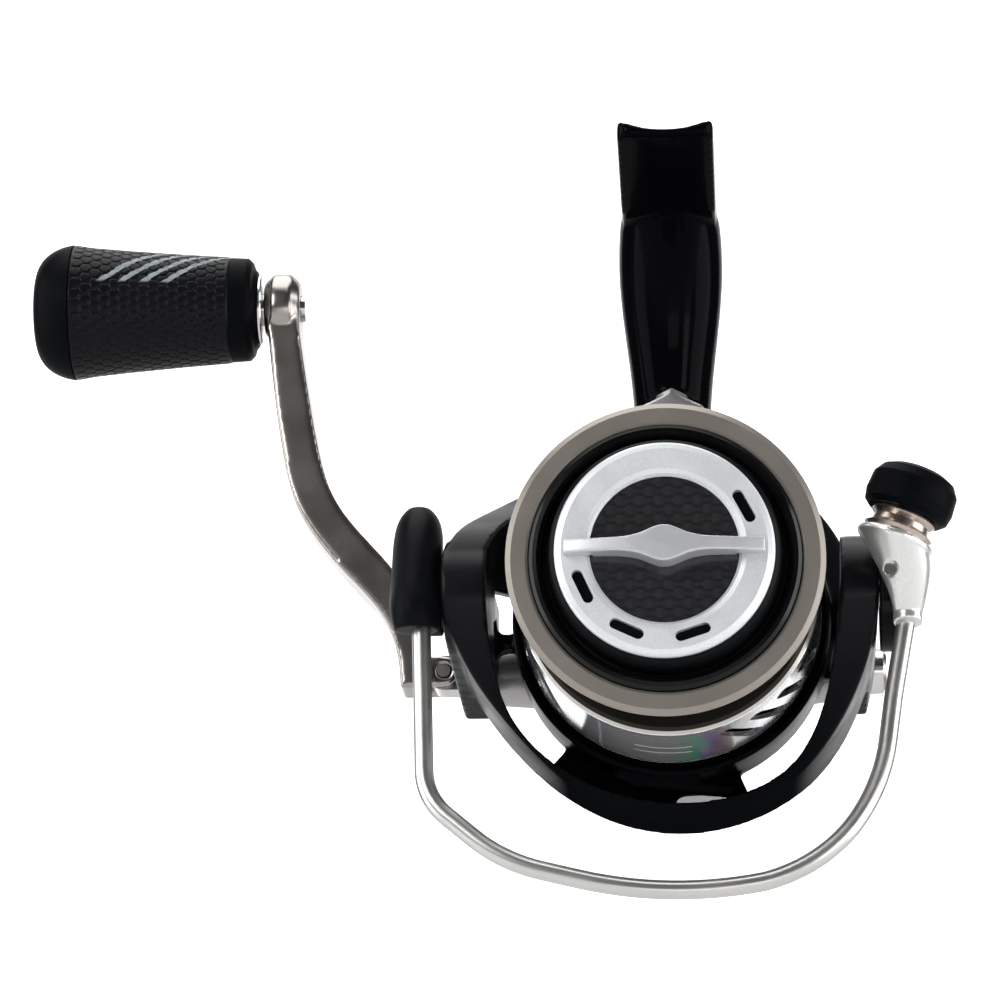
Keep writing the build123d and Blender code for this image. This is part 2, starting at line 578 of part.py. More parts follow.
SLIDER_HALF = 2.5
SLOT_WIDTH = 2.4
POST = (57.2, 58.8)         # front and back of the guide rod's post
with BuildPart() as slider:
    with BuildSketch(side_at(-3.7)):
        with Locations((OSC_BACK, -5.675)):
            Rectangle(2 * SLIDER_HALF, 20.95)
        with Locations((OSC_BACK, -OSC_DROP)):
            SlotOverall(2 * STROKE + SLOT_WIDTH, SLOT_WIDTH, rotation=90, mode=Mode.SUBTRACT)
    extrude(amount=1.5)
    with BuildSketch(side_at(-3.7)):
        with Locations((OSC_BACK, 1.2)):
            Rectangle(2 * SLIDER_HALF, 7.2)
    extrude(amount=5.75)
    revolve(ring(OSC_BACK - 5, OSC_BACK + 5, SHAFT_R), axis=MAIN_AXIS, mode=Mode.SUBTRACT)
    with BuildSketch(front_at(OSC_BACK + 5)):
        with Locations((-2.1, 3.6)):
            Circle(0.9 + RUN)
    extrude(amount=10, mode=Mode.SUBTRACT)
save(slider, "oscillation_slider")

with BuildPart() as guide_rod:
    with BuildSketch(front_at(80.2)):
        with Locations((-2.1, 3.6)):
            Circle(0.9)
    extrude(amount=80.2 - POST[0])
save(guide_rod, "guide_rod")

# ---- bearings and one-way clutch ----
with BuildPart() as pinion_bearing:
    revolve(ring(*BEARING, 6.5, PINION_BARREL_R + RUN), axis=MAIN_AXIS)
save(pinion_bearing, "pinion_bearing")

with BuildPart() as drive_bearings:
    for start in (-12.4, 7.8):
        revolve(ring(start, start + 3.0, 5.5, DRIVE_R + RUN, HANDLE), axis=HANDLE_AXIS)
save(drive_bearings, "drive_bearings")

CLUTCH = (32.2, 36.0)
with BuildPart() as clutch_sleeve:
    revolve(ring(*CLUTCH, 5.0, PINION_BARREL_R), axis=MAIN_AXIS)
save(clutch_sleeve, "clutch_sleeve")

with BuildPart() as clutch_ring:
    revolve(ring(*CLUTCH, 9.0, 6.95), axis=MAIN_AXIS)
save(clutch_ring, "clutch_ring")

with BuildPart() as clutch_rollers:
    with BuildSketch(front_at(CLUTCH[1] - 0.2)):
        with PolarLocations(6.0, 6):
            Circle(0.88)
    extrude(amount=3.4)
save(clutch_rollers, "clutch_rollers")

with BuildPart() as clutch_housing:
    revolve(outline([(31.4, 5.4), (31.4, 11.6), (32.4, 12.5), (34.8, 12.5), (34.8, 17.0), (36.4, 17.0),
                     (36.4, 9.0), (32.2, 9.0), (32.2, 5.4)]), axis=MAIN_AXIS)
    with BuildSketch(front_at(37)):
        with PolarLocations(14.8, 3, start_angle=90):
            Circle(1.0)
    extrude(amount=4, mode=Mode.SUBTRACT)
save(clutch_housing, "clutch_housing")

with BuildPart() as clutch_screws:
    with BuildSketch(front_at(39.4)):
        with PolarLocations(14.8, 3, start_angle=90):
            Circle(1.0)
    extrude(amount=4.6)
    with BuildSketch(front_at(34.8)):
        with PolarLocations(14.8, 3, start_angle=90):
            Circle(1.7)
    extrude(amount=1.0)
save(clutch_screws, "clutch_screws")

# ======================= body, stem and foot =======================
CASE_LEFT, CASE_JOINT, CASE_RIGHT = -9.6, 7.4, 9.4
WALL = 1.4
TUBE_BORE = 2.4
TUBE_LEFT, TUBE_RIGHT = -33.1, 29.0


def case_face(grow=0.0):
    """The case's side outline: two circles and their common tangents."""
    with BuildSketch(SIDE) as sk:
        with Locations((HANDLE_BACK, -HANDLE_DROP)):
            Circle(16.2 + grow)
        with Locations((73.0, -5.2)):
            Circle(11.6 + grow)
        make_hull()
    return sk.sketch


STEM_STATIONS = [  # rise, back, half width, half depth
    (6, 60.0, 6.6, 9.2), (16, 60.3, 6.2, 8.9), (28, 60.2, 6.0, 8.2), (40, 59.2, 6.2, 7.8),
    (50, 57.0, 7.3, 7.8), (60, 54.2, 8.2, 8.8), (67.6, 51.4, 7.9, 11.5)]
with BuildPart() as stem:
    for rise, back, half_width, half_depth in STEM_STATIONS:
        with BuildSketch(Plane(origin=(0, back - LIP_FORWARD, AXIS_Z + rise))):
            Ellipse(half_width, half_depth)
    loft()

FOOT_LENGTH, FOOT_WIDTH, SADDLE_R = 62.0, 14.8, 16.0
with BuildPart() as foot:
    with BuildSketch(Plane.XY.offset(-7)):
        RectangleRounded(FOOT_WIDTH, FOOT_LENGTH, 2.2)
    extrude(amount=10)
    with BuildSketch(Plane.YZ):
        with BuildLine():
            Polyline((-31, -0.9), (-31, 4), (31, 4), (31, -0.9), (18, -5.0), (12, -6.4), (-9, -6.4),
                     (-15, -4.9), close=True)
        make_face()
    extrude(amount=10, both=True, mode=Mode.INTERSECT)
    with BuildSketch(Plane.XZ):
        with Locations((0, SADDLE_R)):
            Circle(SADDLE_R)
    extrude(amount=40, both=True, mode=Mode.SUBTRACT)

with BuildPart() as spine:
    with BuildSketch(front_at(58)):
        with BuildLine():
            Polyline((-5.2, 8), (-5.2, 37.4), (0, 39.8), (5.2, 37.4), (5.2, 8), close=True)
        make_face()
    extrude(amount=7.4)

COVER_SCREWS = [(66.0, 12.0), (63.5, -21.8), (86.7, -5.2)]   # back, rise
LUG_R = 2.6


def case_slab(grow, start, end):
    """The case outline as a slab from x = start to x = end."""
    with BuildPart() as slab:
        extrude(case_face(grow).moved(Location((start, 0, 0))), amount=end - start, dir=(1, 0, 0))
    return slab.part


def body_screw_holes(start, end, radius):
    """Cylinders along X at the cover screws."""
    with BuildPart() as holes:
        with BuildSketch(side_at(start)):
            with Locations(*COVER_SCREWS):
                Circle(radius)
        extrude(amount=end - start)
    return holes.part


def case_outer(start, end):
    """The case's outside between two x planes: the gear case and its round front flange."""
    with BuildPart() as shape:
        add(case_slab(WALL, CASE_LEFT, CASE_RIGHT))
        fillet(shape.faces().sort_by(Axis.X)[0].edges(), 3.0)
        fillet(shape.faces().sort_by(Axis.X)[-1].edges(), 1.6)
        add(body_screw_holes(-1, CASE_RIGHT, LUG_R))
        revolve(ring(0, 50.6, 60), axis=MAIN_AXIS, mode=Mode.SUBTRACT)
        revolve(soft_ring(46.9, 54.5, 22.6, 0, 0.8), axis=MAIN_AXIS)
        with BuildSketch(side_at(start)):
            Rectangle(400, 400)
        extrude(amount=end - start, mode=Mode.INTERSECT)
    return shape.part


# the gear room, narrower inside the front tube
with BuildPart() as gear_room:
    add(case_slab(0, CASE_LEFT + WALL, CASE_JOINT + 0.01))
    revolve(ring(0, 46.7, 60, 18.1), axis=MAIN_AXIS, mode=Mode.SUBTRACT)

with BuildPart() as reel_body:
    add(case_outer(-30, CASE_JOINT))
    revolve(ring(BEARING[0], 46.9, 19.2), axis=MAIN_AXIS)
    revolve(outline([(-8.4, 0), (-8.4, 9.6), (-12.0, 8.4), (-16.0, 6.4), (-20.5, 5.3), (TUBE_LEFT, 4.3),
                     (TUBE_LEFT, 0)], HANDLE), axis=HANDLE_AXIS)
    add(stem.part)
    add(foot.part)
    add(spine.part)
    # gear room, bearing seats and bores
    add(gear_room.part, mode=Mode.SUBTRACT)
    revolve(ring(BEARING[0] - 1, BEARING[1], 6.5), axis=MAIN_AXIS, mode=Mode.SUBTRACT)
    revolve(ring(BEARING[0], 50, PINION_BARREL_R + 0.6), axis=MAIN_AXIS, mode=Mode.SUBTRACT)
    revolve(ring(-12.4, 0, 5.5, plane=HANDLE), axis=HANDLE_AXIS, mode=Mode.SUBTRACT)
    revolve(ring(-12.7, 0, DRIVE_R + 0.3, plane=HANDLE), axis=HANDLE_AXIS, mode=Mode.SUBTRACT)
    revolve(ring(-40, -12, TUBE_BORE, plane=HANDLE), axis=HANDLE_AXIS, mode=Mode.SUBTRACT)
    with BuildSketch(front_at(36)):
        with PolarLocations(14.8, 3, start_angle=90):
            Circle(1.0)
    extrude(amount=-3.4, mode=Mode.SUBTRACT)
    # stud for the crosswind gear, and a post and a bore for the guide rod
    revolve(ring(CASE_LEFT + WALL - 0.2, -4.9, OSC_STUD_R, plane=OSC), axis=OSC_AXIS)
    revolve(ring(CASE_LEFT + WALL - 0.2, -7.3, 3.4, plane=OSC), axis=OSC_AXIS)
    with BuildSketch(side_at(CASE_LEFT + WALL - 0.2)):
        with Locations(((POST[0] + POST[1]) / 2, 3.6)):
            Rectangle(POST[1] - POST[0], 3.0)
    extrude(amount=7.4)
    add(guide_rod.part, mode=Mode.SUBTRACT)
    add(body_screw_holes(0, CASE_JOINT, 0.9), mode=Mode.SUBTRACT)
save(reel_body, "reel_body")

with BuildPart() as side_cover:
    add(case_outer(CASE_JOINT, CASE_RIGHT))
    revolve(outline([(9.0, 0), (9.0, 9.0), (12.0, 8.2), (15.5, 6.4), (20.0, 5.3), (TUBE_RIGHT, 3.9),
                     (TUBE_RIGHT, 0)], HANDLE), axis=HANDLE_AXIS)
    revolve(ring(0, 10.8, 5.5, plane=HANDLE), axis=HANDLE_AXIS, mode=Mode.SUBTRACT)
    revolve(ring(0, 11.2, DRIVE_R + 0.3, plane=HANDLE), axis=HANDLE_AXIS, mode=Mode.SUBTRACT)
    revolve(ring(0, 40, TUBE_BORE, plane=HANDLE), axis=HANDLE_AXIS, mode=Mode.SUBTRACT)
    add(body_screw_holes(CASE_JOINT, CASE_RIGHT, 0.9), mode=Mode.SUBTRACT)
    add(body_screw_holes(CASE_RIGHT - 1.0, CASE_RIGHT + 1, 1.7), mode=Mode.SUBTRACT)
save(side_cover, "side_cover")

with BuildPart() as cover_screws:
    add(body_screw_holes(1.0, CASE_RIGHT - 1.0, 0.9))
    add(body_screw_holes(CASE_RIGHT - 1.0, CASE_RIGHT + 0.2, 1.7))
save(cover_screws, "cover_screws")

with BuildPart() as rear_cover:
    extrude(case_face(WALL + 1.5).moved(Location((-8.0, 0, 0))), amount=15.4, dir=(1, 0, 0))
    add(case_slab(WALL, -20, 20), mode=Mode.SUBTRACT)
    add(body_screw_holes(-1, CASE_RIGHT, LUG_R), mode=Mode.SUBTRACT)
    with BuildSketch(side_at(-20)):
        with Locations((50, 0), (80, 30)):
            Rectangle(46, 80)
    extrude(amount=40, mode=Mode.SUBTRACT)
save(rear_cover, "rear_cover")

# ======================= handle =======================
FOLD_X = HUB_X + 2.8        # hinge pin that lets the handle fold outwards
PIN_R = 1.1
KNUCKLE_HALF = 2.8
SHANK_R = 2.0
RIVET_R = 1.7               # knob pin where it is riveted into the arm
KNOB_PIN_R = 1.9
KNOB_BORE = KNOB_PIN_R + RUN
with BuildPart() as handle_shank:
    revolve(ring(FOLD_X, 29.3, SHANK_R, plane=HANDLE), axis=HANDLE_AXIS)
    revolve(ring(-34.0, -33.3, 2.7, plane=HANDLE), axis=HANDLE_AXIS)
    with BuildSketch(HANDLE):
        with Locations((FOLD_X, 0)):
            Circle(2.7)
        with Locations((FOLD_X + 1.1, 0)):
            Rectangle(2.2, 5.4)
        with Locations((FOLD_X, 0)):
            Circle(PIN_R, mode=Mode.SUBTRACT)
    extrude(amount=KNUCKLE_HALF, both=True)
    with BuildSketch(HANDLE):
        with Locations((FOLD_X, 0)):
            Circle(PIN_R)
    extrude(amount=KNUCKLE_HALF, both=True, mode=Mode.SUBTRACT)
save(handle_shank, "handle_shank")

with BuildPart() as handle_cap:
    revolve(outline([(29.3, 0), (29.3, 3.0), (30.2, 3.6), (32.4, 3.5), (32.9, 2.9), (32.9, 0)], HANDLE),
            axis=HANDLE_AXIS)
save(handle_cap, "handle_screw_cap")

ARM_OUTER = [(-42.6, -2.5), (-43.0, 2.6), (-44.8, 8.0), (-51.3, 16.0), (-55.6, 21.3), (-59.0, 27.0),
             (-61.2, 35.0), (-62.6, 44.0), (-63.6, 52.6), (-64.4, 60.4)]
ARM_INNER = [(-59.0, 60.4), (-58.95, 57.0), (-58.3, 51.5), (-57.3, 45.0), (-55.8, 36.8), (-53.4, 28.8),
             (-49.8, 23.4), (-44.4, 17.2), (-39.8, 8.6), (-38.7, 3.4), (-38.7, -2.5)]
ARM_STATIONS = [(-9.0, 4.4), (8.0, 4.6), (40.0, 4.0), (70.0, 4.6)]   # rise, half width front to back
with BuildPart() as handle_arm:
    with BuildSketch(HANDLE):
        with BuildLine():
            Spline(*ARM_OUTER)
            Line(ARM_OUTER[-1], ARM_INNER[0])
            Spline(*ARM_INNER)
            Line(ARM_INNER[-1], ARM_OUTER[0])
        make_face()
    extrude(amount=5, both=True)
    with BuildSketch(SIDE):
        with BuildLine():
            Polyline(*[(HANDLE_BACK - half, rise) for rise, half in ARM_STATIONS],
                     *[(HANDLE_BACK + half, rise) for rise, half in reversed(ARM_STATIONS)], close=True)
        make_face()
    extrude(amount=-80, mode=Mode.INTERSECT)
    revolve(soft_ring(-64.7, -58.9, 5.6, 0, 1.5, KNOB), axis=KNOB_AXIS)
    # fork: two ears reach past the knuckle to the hinge pin
    with BuildSketch(HANDLE):
        with Locations((FOLD_X, 0)):
            Circle(2.4)
        with Locations((FOLD_X - 2.9, 0)):
            Rectangle(5.8, 4.8)
    extrude(amount=4.4, both=True)
    with BuildSketch(HANDLE):
        with Locations((FOLD_X, 0)):
            Rectangle(5.7, 12)
    extrude(amount=KNUCKLE_HALF + 0.1, both=True, mode=Mode.SUBTRACT)
    with BuildSketch(HANDLE):
        with Locations((FOLD_X, 0)):
            Circle(PIN_R)
    extrude(amount=5, both=True, mode=Mode.SUBTRACT)
    revolve(ring(-70, -50, RIVET_R, plane=KNOB), axis=KNOB_AXIS, mode=Mode.SUBTRACT)
save(handle_arm, "handle_arm")

with BuildPart() as fold_pin:
    with BuildSketch(HANDLE):
        with Locations((FOLD_X, 0)):
            Circle(PIN_R - RUN)
    extrude(amount=4.5, both=True)
save(fold_pin, "fold_pin")

with BuildPart() as knob_shaft:
    revolve(outline([(-58.2, 0), (-58.2, 2.1), (-58.9, 2.1), (-58.9, RIVET_R), (-64.7, RIVET_R), (-64.7, 2.6),
                     (-64.95, 2.6), (-64.95, KNOB_PIN_R), (-97.0, KNOB_PIN_R), (-97.0, 0)], KNOB),
            axis=KNOB_AXIS)
save(knob_shaft, "knob_shaft")

with BuildPart() as knob_washer:
    revolve(soft_ring(-65.7, -65.0, 5.6, KNOB_BORE, 0.2, KNOB), axis=KNOB_AXIS)
save(knob_washer, "knob_washer")

with BuildPart() as knob_core:
    revolve(outline([(-65.75, KNOB_BORE), (-65.75, 6.0), (-66.2, 6.5), (-66.5, 7.5), (-67.2, 8.2),
                     (-69.9, 8.35), (-69.9, 5.4), (-95.2, 5.4), (-95.2, 3.4), (-97.3, 3.4),
                     (-97.3, KNOB_BORE)], KNOB), axis=KNOB_AXIS)
save(knob_core, "knob_core")

with BuildPart() as knob_sleeve:
    revolve(outline([(-69.9, 5.4), (-69.9, 8.3), (-70.4, 8.5), (-78.0, 9.05), (-87.0, 9.8), (-92.0, 10.3),
                     (-94.8, 10.75), (-95.2, 10.6), (-95.2, 5.4)], KNOB), axis=KNOB_AXIS)
save(knob_sleeve, "knob_sleeve")

with BuildPart() as knob_end:
    with BuildSketch(KNOB):
        with BuildLine():
            Polyline((-100.0, 4.4), (-97.6, 4.4), (-97.6, 3.4), (-95.2, 3.4), (-95.2, 10.8))
            Spline((-95.2, 10.8), (-97.8, 10.1), (-100.1, 8.4), (-101.2, 5.8), (-101.1, 4.4))
            Line((-101.1, 4.4), (-100.0, 4.4))
        make_face()
    revolve(axis=KNOB_AXIS)
save(knob_end, "knob_end")

with BuildPart() as knob_plug:
    revolve(outline([(-101.3, 0), (-101.3, 2.6), (-101.0, 4.3), (-100.0, 4.35), (-98.6, 4.35),
                     (-98.6, 0)], KNOB), axis=KNOB_AXIS)
save(knob_plug, "knob_plug")
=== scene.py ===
"""Looks for an open-face spinning reel: finishes, soft castings, studio light and camera.

Everything is in metres in the CAD frame: +Z up into the rod, -Y towards the camera.
"""
import json
import math

import bpy
import numpy as np
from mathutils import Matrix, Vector


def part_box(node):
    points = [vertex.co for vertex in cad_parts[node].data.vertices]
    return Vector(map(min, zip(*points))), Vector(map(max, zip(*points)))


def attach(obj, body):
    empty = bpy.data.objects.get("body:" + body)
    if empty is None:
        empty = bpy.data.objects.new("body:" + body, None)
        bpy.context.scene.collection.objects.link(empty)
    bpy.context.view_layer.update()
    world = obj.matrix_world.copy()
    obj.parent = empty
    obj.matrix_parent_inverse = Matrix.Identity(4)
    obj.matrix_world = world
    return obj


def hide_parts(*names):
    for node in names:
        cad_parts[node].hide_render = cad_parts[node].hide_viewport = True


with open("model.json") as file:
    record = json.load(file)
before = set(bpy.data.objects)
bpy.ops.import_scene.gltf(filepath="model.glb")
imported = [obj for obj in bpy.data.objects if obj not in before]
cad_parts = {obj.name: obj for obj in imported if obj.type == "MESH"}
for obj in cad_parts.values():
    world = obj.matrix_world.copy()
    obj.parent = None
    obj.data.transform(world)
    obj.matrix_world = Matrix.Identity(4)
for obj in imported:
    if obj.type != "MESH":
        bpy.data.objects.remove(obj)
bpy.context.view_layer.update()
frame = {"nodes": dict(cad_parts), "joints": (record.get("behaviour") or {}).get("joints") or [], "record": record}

MM = 0.001
JOINTS = {joint["name"]: joint for joint in frame["joints"]}
BODIES = {node: body for body, nodes in frame["record"]["behaviour"]["bodies"].items() for node in nodes}
AXIS_Z = JOINTS["rotor_spin"]["pos_m"][2]               # the main shaft's height
LIP_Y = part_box("lip_ring")[0].y                         # front of the spool's lip
LIP_CENTRE = Vector((0.0, LIP_Y, AXIS_Z))
KNOB_Y, KNOB_Z = JOINTS["knob_spin"]["pos_m"][1:]       # the handle knob's own axis
CRANK_Y, CRANK_Z = JOINTS["handle_turn"]["pos_m"][1:]


def back(mm):
    """The y at a distance in mm behind the spool's lip."""
    return LIP_Y + mm * MM


def srgb(*levels):
    """A linear colour from its sRGB levels, 0 to 255."""
    shares = [level / 255 for level in levels]
    return tuple(c / 12.92 if c < 0.04045 else ((c + 0.055) / 1.055) ** 2.4 for c in shares) + (1.0,)


def shade(colour, factor):
    """The same colour, lighter or darker."""
    return tuple(min(1.0, c * factor) for c in colour[:3]) + (1.0,)


# ---------------------------------------------------------------- materials
class Surface:
    """A material under construction, with short calls for the nodes that every finish uses."""

    def __init__(self, name):
        self.material = bpy.data.materials.new(name)
        self.material.use_nodes = True
        self.tree = self.material.node_tree
        self.tree.nodes.clear()
        self.bsdf = self.node("ShaderNodeBsdfPrincipled")
        self.link(self.bsdf.outputs[0], self.node("ShaderNodeOutputMaterial").inputs["Surface"])
        self.place = self.node("ShaderNodeTexCoord").outputs["Object"]
        self.normal = None

    def node(self, kind, **settings):
        made = self.tree.nodes.new(kind)
        for key, value in settings.items():
            setattr(made, key, value)
        return made

    def link(self, source, target):
        if isinstance(source, bpy.types.NodeSocket):
            self.tree.links.new(source, target)
        else:
            target.default_value = source

    def set(self, **inputs):
        for key, value in inputs.items():
            self.link(value, self.bsdf.inputs[key.replace("_", " ")])

    def math(self, operation, a, b=0.0):
        made = self.node("ShaderNodeMath", operation=operation)
        self.link(a, made.inputs[0])
        self.link(b, made.inputs[1])
        return made.outputs[0]

    def axes(self):
        made = self.node("ShaderNodeSeparateXYZ")
        self.link(self.place, made.inputs[0])
        return made.outputs

    def step(self, value, edge, soft=0.00004):
        """0 below the edge, 1 above it, with a short soft change."""
        return self.span(value, 0.0, 1.0, edge - soft, edge + soft)

    def below(self, value, edge, soft=0.00004):
        """1 below the edge, 0 above it."""
        return self.math("SUBTRACT", 1.0, self.step(value, edge, soft))

    def between(self, value, low, high, soft=0.00004):
        """1 from the low edge to the high one, 0 outside them."""
        return self.math("MULTIPLY", self.step(value, low, soft), self.below(value, high, soft))

    def span(self, value, low, high, start=0.3, end=0.7):
        made = self.node("ShaderNodeMapRange", interpolation_type="SMOOTHSTEP")
        for key, number in zip(("Value", "From Min", "From Max", "To Min", "To Max"),
                               (value, start, end, low, high)):
            self.link(number, made.inputs[key])
        return made.outputs[0]

    def noise(self, per_metre, detail=3.0, vector=None):
        made = self.node("ShaderNodeTexNoise")
        self.link(self.place if vector is None else vector, made.inputs["Vector"])
        self.link(per_metre, made.inputs["Scale"])
        self.link(detail, made.inputs["Detail"])
        return made.outputs["Fac"]

    def line_noise(self, value, per_metre, detail=2.0):
        made = self.node("ShaderNodeTexNoise", noise_dimensions="1D")
        self.link(value, made.inputs["W"])
        self.link(per_metre, made.inputs["Scale"])
        self.link(detail, made.inputs["Detail"])
        return made.outputs["Fac"]

    def mix(self, factor, first, second):
        made = self.node("ShaderNodeMix", data_type="RGBA")
        self.link(factor, made.inputs[0])
        self.link(first, made.inputs[6])
        self.link(second, made.inputs[7])
        return made.outputs[2]

    def blend(self, factor, first, second):
        """A number that goes from first to second as the factor goes from 0 to 1."""
        return self.math("ADD", first, self.math("MULTIPLY", factor, self.math("SUBTRACT", second, first)))

    def bump(self, height, depth, strength=1.0):
        made = self.node("ShaderNodeBump")
        self.link(strength, made.inputs["Strength"])
        self.link(depth, made.inputs["Distance"])
        self.link(height, made.inputs["Height"])
        if self.normal is not None:
            self.link(self.normal, made.inputs["Normal"])
        self.normal = made.outputs[0]
        self.set(Normal=self.normal)

    def polar(self, axis, centre):
        """Distance from an axis, distance along it, and the turn about it."""
        x, y, z = self.axes()
        first, second, along = {"Y": (x, z, y), "X": (y, z, x)}[axis]
        u = self.math("SUBTRACT", first, centre[0])
        v = self.math("SUBTRACT", second, centre[1])
        radius = self.math("SQRT", self.math("ADD", self.math("MULTIPLY", u, u), self.math("MULTIPLY", v, v)))
        return radius, along, self.math("ARCTAN2", v, u)


LATHE_RINGS = 9000          # tool marks, flakes and moulded grain per metre
FLAKES = 6500
GRAIN = 2600
MAIN = ("Y", (0.0, AXIS_Z))
CRANK = ("X", (CRANK_Y, CRANK_Z))
KNOB = ("X", (KNOB_Y, KNOB_Z))


def metal(name, colour, rough, turned=None, metallic=1.0, spread=0.02, grain=5000, depth=0.0000003):
    """Bare or anodised metal: fine grain, uneven gloss and tone, and lathe rings where turned."""
    s = Surface(name)
    fine = s.noise(grain, 2.0)
    slow = s.noise(120)
    s.set(Base_Color=s.mix(slow, shade(colour, 0.93), shade(colour, 1.06)), Metallic=metallic)
    s.set(Roughness=s.span(slow, rough - spread, rough + spread))
    if turned:
        radius, along, _ = s.polar(*turned)
        s.bump(s.line_noise(s.math("ADD", radius, along), LATHE_RINGS), depth * 5.0, 0.6)
    s.bump(fine, depth, 0.4)
    return s.material


def paint(name, colour, rough, flake=0.06, metallic=0.45, coat=0.15):
    """Silver paint or blasted plating: tiny flakes and an even soft gloss."""
    s = Surface(name)
    flakes = s.noise(FLAKES, 1.0)
    tone = s.mix(s.span(flakes, 0.0, 1.0), shade(colour, 1 - flake), shade(colour, 1 + flake))
    s.set(Base_Color=tone, Metallic=metallic)
    s.set(Roughness=s.span(s.noise(300), rough - 0.04, rough + 0.04), Coat_Weight=coat, Coat_Roughness=0.25)
    s.bump(flakes, 0.000002, 0.3)
    return s.material


def plastic(name, colour, rough, coat=0.0, grain=GRAIN, depth=0.000006, spread=0.05, specular=0.2):
    """Moulded plastic or rubber: fine grain and a slow change of gloss and tone."""
    s = Surface(name)
    fine = s.noise(grain, 2.0)
    slow = s.noise(120)
    s.set(Base_Color=s.mix(slow, shade(colour, 0.85), shade(colour, 1.2)))
    s.set(Roughness=s.span(slow, rough - spread, rough + spread), Specular_IOR_Level=specular)
    s.set(Coat_Weight=coat, Coat_Roughness=0.06)
    s.bump(fine, depth, 0.4)
    return s.material


def carbon(name):
    """Woven carbon under clear coat: square tows that pass over and under each other."""
    s = Surface(name)
    tow = 1.4 * MM
    x, _, z = s.axes()
    column = s.math("FLOOR", s.math("DIVIDE", x, tow))
    row = s.math("FLOOR", s.math("DIVIDE", z, tow))
    over = s.math("FLOORED_MODULO", s.math("ADD", column, row), 2.0)
    across = s.math("PINGPONG", x, tow / 2)
    up = s.math("PINGPONG", z, tow / 2)
    swell = s.math("DIVIDE", s.blend(over, across, up), tow / 2)
    fibres = s.line_noise(s.blend(over, x, z), 14000)
    dark, light = srgb(13, 13, 15), srgb(40, 41, 46)
    tone = s.mix(s.math("MULTIPLY", swell, s.blend(over, 0.35, 0.95)), dark, light)
    s.set(Base_Color=s.mix(s.span(fibres, 0.0, 0.35), tone, dark), Metallic=0.35)
    s.set(Roughness=s.blend(over, 0.42, 0.30), Coat_Weight=0.8, Coat_Roughness=0.12)
    s.bump(swell, 0.00004, 0.5)
    s.bump(fibres, 0.000004, 0.4)
    return s.material


def felt(name):
    """Greased felt: matted fibres with darker oily patches."""
    s = Surface(name)
    fibres = s.noise(5200, 6.0)
    oil = s.noise(240)
    s.set(Base_Color=s.mix(s.math("MULTIPLY", fibres, oil), srgb(38, 34, 30), srgb(104, 96, 84)))
    s.set(Roughness=s.span(oil, 0.45, 0.9), Sheen_Weight=0.3)
    s.bump(fibres, 0.00006, 0.8)
    return s.material


LABEL_TURN = (-118, -66)                    # degrees round the skirt
LABEL_DEPTH = (20.4 * MM, 35.2 * MM)        # behind the lip


def spool_finish():
    """Dark bronze arbor and flange, a pale painted highlight round the flange's chamfer, and a polished skirt with
    a plain label band.
    """
    s = Surface("spool_finish")
    radius, along, turn = s.polar(*MAIN)
    depth = s.math("SUBTRACT", along, LIP_Y)
    rings = s.line_noise(s.math("ADD", radius, along), LATHE_RINGS)
    slow = s.noise(150)
    bronze = s.mix(slow, srgb(28, 25, 22), srgb(40, 36, 31))
    # a pale colour for the rear flange's rim: a painted highlight along the chamfer
    rim_painted_highlight = s.mix(slow, srgb(160, 156, 150), srgb(190, 187, 182))
    chrome = s.mix(slow, srgb(200, 202, 206), srgb(222, 224, 228))
    # the label: a smoky band with a soft colour sheen round the lower front of the skirt
    degrees = s.math("MULTIPLY", turn, 180 / math.pi)
    label = s.math("MULTIPLY", s.between(degrees, *LABEL_TURN, 1.0), s.between(depth, *LABEL_DEPTH))
    sheen = s.node("ShaderNodeValToRGB")
    stops = [(0.0, srgb(84, 84, 86)), (0.45, srgb(92, 90, 88)), (0.66, srgb(82, 92, 86)),
             (0.78, srgb(52, 100, 82)), (0.88, srgb(76, 62, 94)), (1.0, srgb(98, 82, 74))]
    ramp = sheen.color_ramp.elements
    while len(ramp) < len(stops):
        ramp.new(0.5)
    for element, (place, colour) in zip(ramp, stops):
        element.position, element.color = place, colour
    waved = s.math("ADD", degrees, s.math("MULTIPLY", slow, 12.0))
    s.link(s.span(waved, 0.0, 1.0, LABEL_TURN[0], -56), sheen.inputs[0])
    # two plain rules across the label, where a real one carries its print
    rules = s.math("PINGPONG", s.math("SUBTRACT", depth, 24.0 * MM), 1.5 * MM)
    printed = s.math("MULTIPLY", s.below(rules, 0.22 * MM), s.between(depth, 25.4 * MM, 32.0 * MM))
    printed = s.math("MULTIPLY", printed, s.between(degrees, -104, -82, 0.4))
    band = s.mix(printed, sheen.outputs[0], srgb(170, 170, 170))
    skirt = s.mix(label, chrome, band)
    outside = s.step(radius, 22.1 * MM)
    rear = s.step(depth, 18.3 * MM)
    rim = s.math("MULTIPLY", s.step(depth, 17.9 * MM), s.step(radius, 21.9 * MM))
    # the painted highlight goes on the rim, over the dark bronze
    tone = s.mix(rim, bronze, rim_painted_highlight)
    on_skirt = s.math("MULTIPLY", outside, rear)
    s.set(Base_Color=s.mix(on_skirt, tone, skirt))
    s.set(Metallic=s.blend(on_skirt, s.blend(rim, 0.8, 0.6), s.blend(label, 0.85, 0.15)))
    s.set(Roughness=s.blend(on_skirt, s.blend(rim, 0.34, 0.3), s.blend(label, 0.16, 0.34)))
    s.bump(rings, 0.000003, 0.5)
    return s.material


